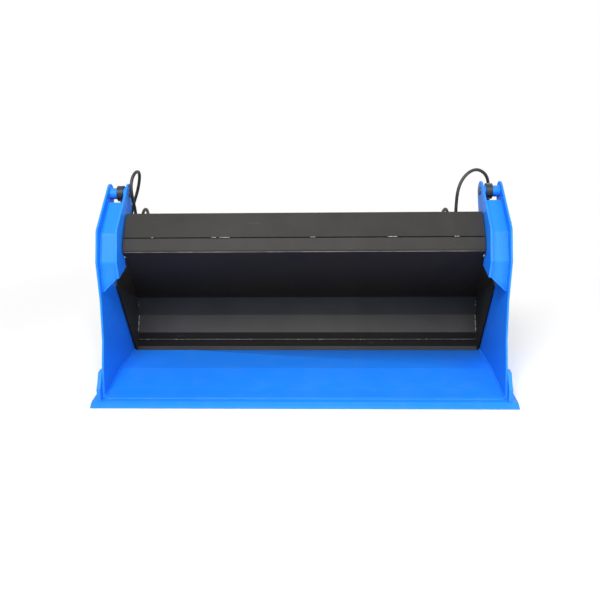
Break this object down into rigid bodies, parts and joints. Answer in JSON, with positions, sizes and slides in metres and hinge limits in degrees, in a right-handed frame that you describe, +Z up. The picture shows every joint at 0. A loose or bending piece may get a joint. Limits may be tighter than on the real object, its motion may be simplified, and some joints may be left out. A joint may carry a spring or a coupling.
{
  "type": "hydraulic opening bucket",
  "caption": "Front loader bucket whose jaw, hinged on a folded back frame with two hydraulic cylinders, opens forward to grab, doze, level or dump.",
  "frame": {"origin": "middle of the bounding box, on the ground under the bucket", "axes": "X along the cutting edge to the right as seen from the front, Y from the cutting edge to the loader, Z up"},
  "size_m": [1.676, 0.746, 0.8574],
  "materials": {
    "blue_paint": "glossy paint over welded plate",
    "black_paint": "satin paint over folded sheet",
    "dark_steel": "oiled dark steel",
    "chromed_rod": "polished",
    "zinc_plated": "zinc plated",
    "bronze": "machined bearing bronze",
    "hose_rubber": "matte braided hose cover"
  },
  "bodies": {
    "back_frame": {"beam_face": "black_paint", "moldboard": "black_paint", "beam_back": "black_paint", "beam_caps": "black_paint", "pivot_bushes": "bronze", "blade_bar": "black_paint", "end_plate_left": "black_paint", "end_plate_right": "black_paint", "corner_closures": "black_paint", "cylinder_lugs": "black_paint", "back_ribs": "black_paint", "lower_tube": "black_paint", "hitch_plates": "black_paint", "hitch_bar": "black_paint", "base_pins": "dark_steel", "pipe_clamps": "dark_steel", "oil_pipes": "dark_steel", "coupler_bracket": "black_paint", "quick_couplers": "zinc_plated", "upper_hose_left": "hose_rubber", "upper_hose_right": "hose_rubber", "lower_hose_left": "hose_rubber", "lower_hose_right": "hose_rubber"},
    "jaw": {"jaw_floor": "blue_paint", "cutting_edge": "blue_paint", "heel_bar": "blue_paint", "side_plate_left": "blue_paint", "side_plate_right": "blue_paint", "side_cutter_left": "blue_paint", "side_cutter_right": "blue_paint", "arm_plate_left": "blue_paint", "arm_plate_right": "blue_paint", "arm_cover_left": "blue_paint", "arm_cover_right": "blue_paint", "arm_foot_left": "blue_paint", "arm_foot_right": "blue_paint", "pivot_tube_left": "blue_paint", "pivot_tube_right": "blue_paint", "pivot_pin_left": "dark_steel", "pivot_pin_right": "dark_steel", "pivot_bolts": "zinc_plated", "ear_boss_left": "blue_paint", "ear_boss_right": "blue_paint", "ear_pin_left": "dark_steel", "ear_pin_right": "dark_steel", "grease_nipples": "dark_steel"},
    "barrel_left": {"barrel_left": "black_paint", "gland_left": "dark_steel", "port_elbows_left": "zinc_plated"},
    "rod_left": {"rod_left": "chromed_rod", "piston_left": "dark_steel", "eye_pin_left": "dark_steel"},
    "barrel_right": {"barrel_right": "black_paint", "gland_right": "dark_steel", "port_elbows_right": "zinc_plated"},
    "rod_right": {"rod_right": "chromed_rod", "piston_right": "dark_steel", "eye_pin_right": "dark_steel"}
  },
  "joints": [
    {"name": "jaw_hinge", "type": "hinge", "parent": "back_frame", "child": "jaw", "pos_m": [0, -0.043, 0.652], "axis": [-1, 0, 0], "range_deg": [0, 55]},
    {"name": "barrel_left_swing", "type": "hinge", "parent": "back_frame", "child": "barrel_left", "pos_m": [-0.75, 0.187, 0.37], "axis": [-1, 0, 0], "range_deg": [0, 2.21], "deforming": ["upper_hose_left", "lower_hose_left"]},
    {"name": "rod_left_slide", "type": "slide", "parent": "barrel_left", "child": "rod_left", "axis": [0, -0.3262, 0.9453], "range_m": [-0.1361, 0]},
    {"name": "barrel_right_swing", "type": "hinge", "parent": "back_frame", "child": "barrel_right", "pos_m": [0.75, 0.187, 0.37], "axis": [-1, 0, 0], "range_deg": [0, 2.21], "deforming": ["upper_hose_right", "lower_hose_right"]},
    {"name": "rod_right_slide", "type": "slide", "parent": "barrel_right", "child": "rod_right", "axis": [0, -0.3262, 0.9453], "range_m": [-0.1361, 0]}
  ],
  "couplings": [
    {"joint": "barrel_left_swing", "follows": "jaw_hinge", "ratio": 0.039305},
    {"joint": "rod_left_slide", "follows": "jaw_hinge", "m_per_rad": -0.14164},
    {"joint": "barrel_right_swing", "follows": "jaw_hinge", "ratio": 0.039305},
    {"joint": "rod_right_slide", "follows": "jaw_hinge", "m_per_rad": -0.14164}
  ]
}
